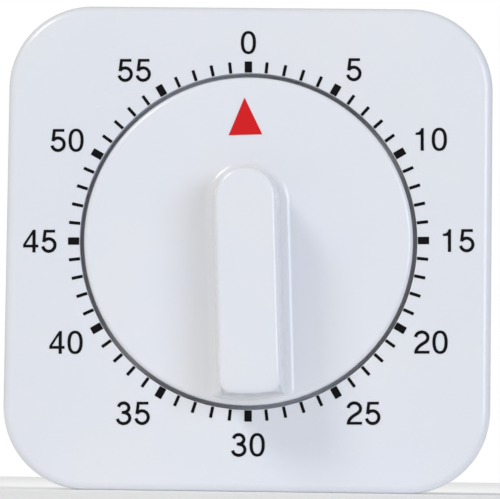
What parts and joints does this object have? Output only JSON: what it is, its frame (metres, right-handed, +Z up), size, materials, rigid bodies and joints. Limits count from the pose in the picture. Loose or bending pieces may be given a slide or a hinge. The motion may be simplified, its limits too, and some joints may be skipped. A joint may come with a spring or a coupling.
{
  "type": "lab timer",
  "caption": "Square wind-up countdown timer with a round dial, a raised finger grip and clockwork that rings a bell.",
  "frame": {"origin": "middle of the footprint, on the surface that the timer stands on", "axes": "+Z up, towards the zero mark; the dial faces -Y; +X to the right as seen from the front"},
  "size_m": [0.075, 0.0358, 0.075],
  "materials": {
    "case_plastic": "white moulded plastic, satin gloss",
    "knob_plastic": "white moulded plastic, gloss",
    "black_ink": "printed black ink",
    "red_ink": "printed red ink",
    "steel": "turned steel",
    "screw_steel": "zinc plated steel",
    "plate_steel": "zinc plated sheet steel",
    "spring_steel": "blued spring steel",
    "brass": "stamped brass",
    "bell_nickel": "nickel plated steel",
    "magnet": "sintered ferrite"
  },
  "bodies": {
    "case": {"front_case": "case_plastic", "rear_cover": "case_plastic", "case_screws": "screw_steel", "magnets": "magnet", "minute_marks": "black_ink", "numerals": "black_ink", "spring_post": "steel", "front_plate": "plate_steel", "rear_plate": "plate_steel", "pillars": "steel", "pillar_nuts": "brass", "movement_screws": "steel", "hairspring_stud": "brass", "hammer_stud": "steel", "bell_post": "steel", "bell": "bell_nickel", "bell_screw": "brass"},
    "knob": {"dial_knob": "knob_plastic", "pointer_mark": "red_ink", "main_arbor": "steel", "spring_hub": "steel", "mainspring": "spring_steel", "main_wheel": "brass", "clutch_washer": "steel", "clutch_collar": "brass", "alarm_cam": "brass"},
    "second_train": {"second_pinion": "steel", "second_wheel": "brass"},
    "third_train": {"third_pinion": "steel", "third_wheel": "brass"},
    "escape_train": {"escape_pinion": "steel", "escape_wheel": "brass"},
    "strike_train": {"strike_pinion": "steel", "star_wheel": "brass"},
    "pallet": {"pallet_arbor": "steel", "pallet_lever": "brass", "pallet_pins": "steel"},
    "balance": {"balance_staff": "steel", "balance_wheel": "brass", "balance_roller": "brass", "impulse_pin": "steel", "hairspring": "spring_steel"},
    "hammer": {"hammer_lever": "steel", "hammer_head": "brass", "hammer_spring": "spring_steel"}
  },
  "joints": [
    {"name": "knob_turn", "type": "hinge", "parent": "case", "child": "knob", "pos_m": [0, -0.00835, 0.0386], "axis": [0, 1, 0], "range_deg": [0, 360], "deforming": ["mainspring"]},
    {"name": "second_spin", "type": "hinge", "parent": "case", "child": "second_train", "pos_m": [-0.0162, -0.00835, 0.0386], "axis": [0, 1, 0], "range_deg": [-2880, 0]},
    {"name": "third_spin", "type": "hinge", "parent": "case", "child": "third_train", "pos_m": [-0.01007, -0.00835, 0.02657], "axis": [0, 1, 0], "range_deg": [0, 23040]},
    {"name": "escape_spin", "type": "hinge", "parent": "case", "child": "escape_train", "pos_m": [0.0005, -0.00835, 0.02272], "axis": [0, 1, 0], "range_deg": [-184320, 0]},
    {"name": "strike_spin", "type": "hinge", "parent": "case", "child": "strike_train", "pos_m": [0.00846, -0.00835, 0.05241], "axis": [0, 1, 0], "range_deg": [-2880, 0]},
    {"name": "balance_swing", "type": "hinge", "parent": "case", "child": "balance", "pos_m": [0.01202, -0.00835, 0.0264], "axis": [0, 1, 0], "range_deg": [-25, 25], "deforming": ["hairspring"]},
    {"name": "pallet_rock", "type": "hinge", "parent": "case", "child": "pallet", "pos_m": [0.00591, -0.00835, 0.02417], "axis": [0, 1, 0], "range_deg": [-7, 7]},
    {"name": "hammer_drop", "type": "hinge", "parent": "case", "child": "hammer", "pos_m": [0.0105, -0.00835, 0.0451], "axis": [0, 1, 0], "range_deg": [-5, 0], "deforming": ["hammer_spring"]}
  ],
  "couplings": [
    {"joint": "second_spin", "follows": "knob_turn", "ratio": -8},
    {"joint": "third_spin", "follows": "knob_turn", "ratio": 64},
    {"joint": "escape_spin", "follows": "knob_turn", "ratio": -512},
    {"joint": "strike_spin", "follows": "knob_turn", "ratio": -8},
    {"joint": "pallet_rock", "follows": "balance_swing", "ratio": -0.265}
  ]
}
